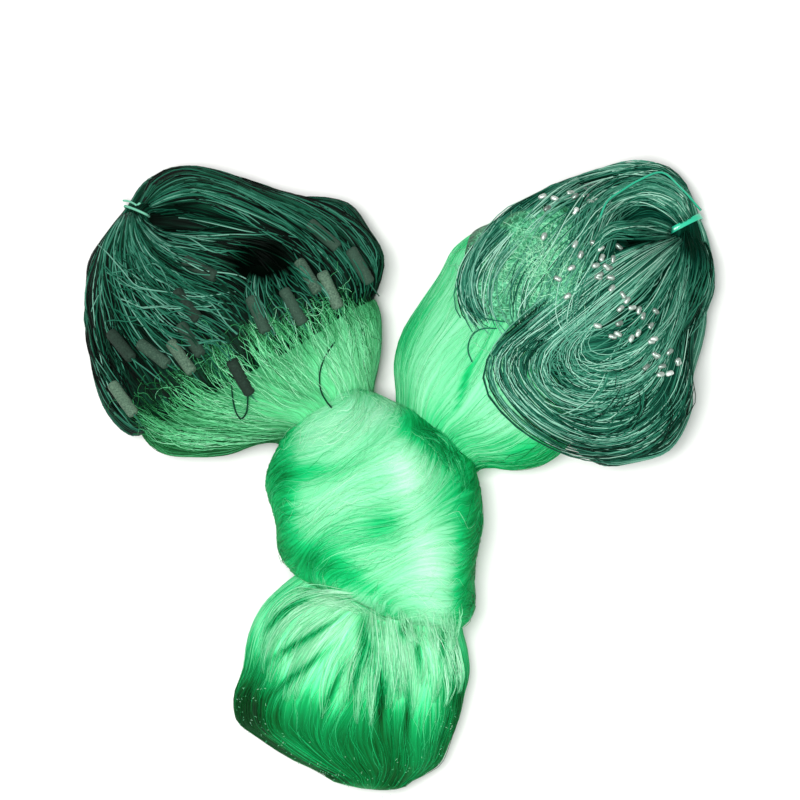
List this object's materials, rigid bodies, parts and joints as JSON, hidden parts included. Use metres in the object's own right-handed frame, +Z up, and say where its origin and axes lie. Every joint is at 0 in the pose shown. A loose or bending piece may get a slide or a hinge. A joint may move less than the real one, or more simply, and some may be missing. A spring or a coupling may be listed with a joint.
{
  "type": "fishing net",
  "caption": "Packed gill net: fine green netting gathered into a wrapped bundle with a tail, its float line and weighted line tied off in hanks on two arms.",
  "frame": {"origin": "middle of the bundle's footprint, on the ground it lies on", "axes": "+Z up, +Y from the tail tuft towards the two hanks, +X from the float line hank towards the weighted line hank"},
  "size_m": [0.4766, 0.4734, 0.1002],
  "materials": {
    "netting": "silky nylon monofilament netting, spring green",
    "float_line": "thin laid line, dark sea green",
    "lead_line": "fine laid line, sea green",
    "foam": "closed-cell foam, matt grey-green",
    "lead": "bright crimped lead, stands in as a plain metal",
    "strap": "glossy flat plastic strap, teal",
    "tie_cord": "thin twisted cord, pale green"
  },
  "bodies": {
    "root": {"float_01": "foam", "float_02": "foam", "float_03": "foam", "float_04": "foam", "float_05": "foam", "float_06": "foam", "float_07": "foam", "float_08": "foam", "float_09": "foam", "float_10": "foam", "float_11": "foam", "float_12": "foam", "float_13": "foam", "float_14": "foam", "float_line_bight": "float_line", "float_line_hank": "float_line", "float_line_loop": "float_line", "float_line_tie": "tie_cord", "lead_line_hank": "lead_line", "lead_line_hook": "lead_line", "lead_line_loop": "lead_line", "lead_line_strap": "strap", "sinker_01": "lead", "sinker_02": "lead", "sinker_03": "lead", "sinker_04": "lead", "sinker_05": "lead", "sinker_06": "lead", "sinker_07": "lead", "sinker_08": "lead", "sinker_09": "lead", "sinker_10": "lead", "sinker_11": "lead", "sinker_12": "lead", "sinker_13": "lead", "sinker_14": "lead", "sinker_15": "lead", "sinker_16": "lead", "sinker_17": "lead", "sinker_18": "lead", "sinker_19": "lead", "sinker_20": "lead", "sinker_21": "lead", "sinker_22": "lead", "sinker_23": "lead", "sinker_24": "lead", "webbing": "netting"}
  },
  "joints": []
}
